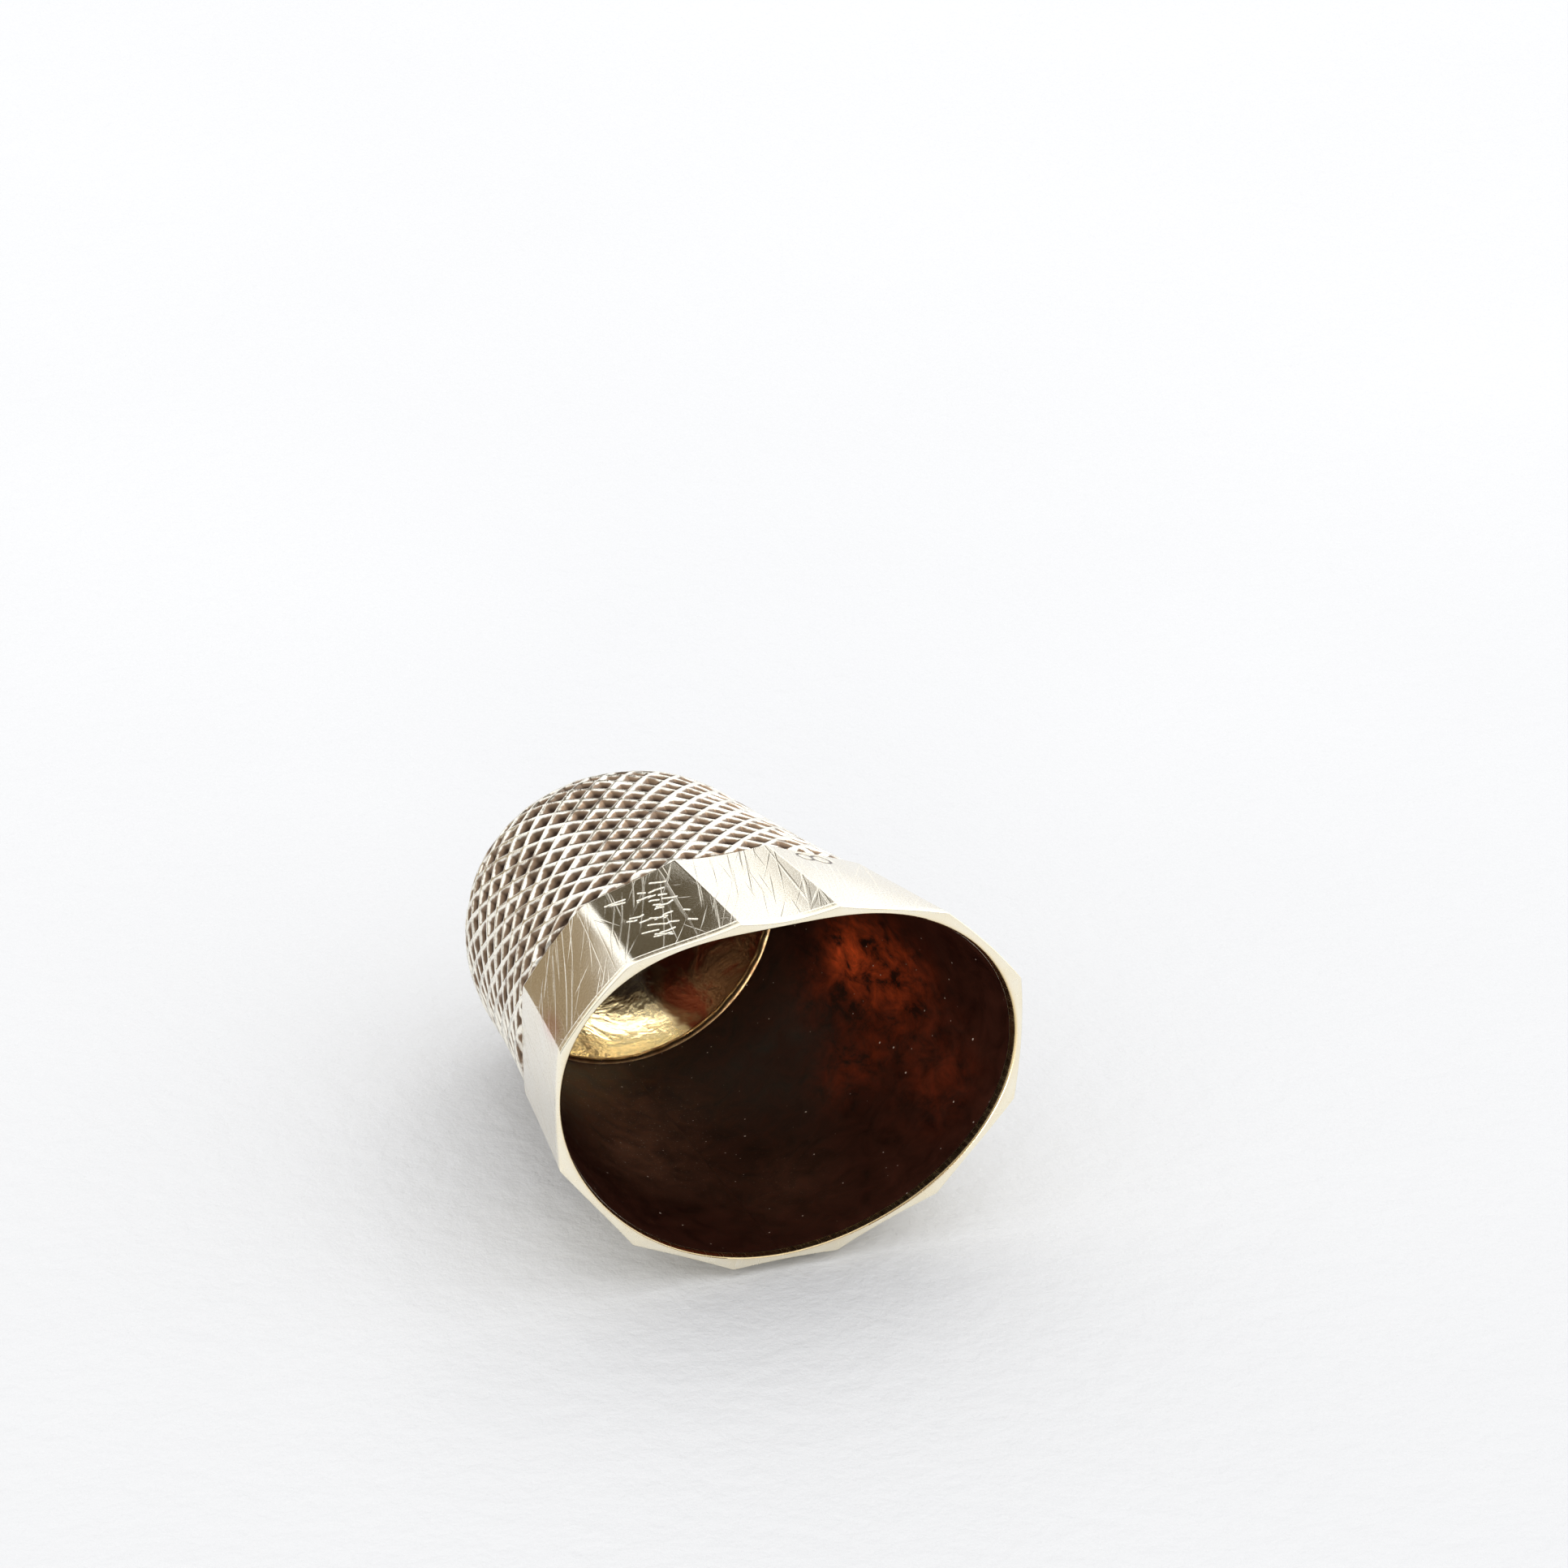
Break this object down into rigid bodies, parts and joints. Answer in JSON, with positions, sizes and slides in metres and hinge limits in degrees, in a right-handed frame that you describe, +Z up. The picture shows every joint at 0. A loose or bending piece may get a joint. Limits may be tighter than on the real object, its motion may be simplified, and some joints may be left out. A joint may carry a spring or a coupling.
{
  "type": "sewing thimble",
  "caption": "Gold sewing thimble lying on its side: knurled tapered wall, knurled domed cap, faceted band and flat rim round an open, squashed mouth.",
  "frame": {"origin": "on the surface the thimble lies on, under the middle of its bounding box", "axes": "+Y from the mouth towards the tip, level; +Z up; +X to the right of someone looking into the mouth. The thimble's own axis drops 5.8 degrees towards the tip."},
  "size_m": [0.0192, 0.0222, 0.0145],
  "materials": {
    "wall": "worn knurled yellow gold, patinated brown inside",
    "cap": "worn knurled yellow gold, bright inside",
    "band": "polished yellow gold with fine scratches",
    "rim": "filed yellow gold",
    "solder": "gold solder"
  },
  "bodies": {
    "root": {"knurled_wall": "wall", "knurled_cap": "cap", "faceted_band": "band", "rim_ring": "rim", "seam_fillet": "solder"}
  },
  "joints": []
}
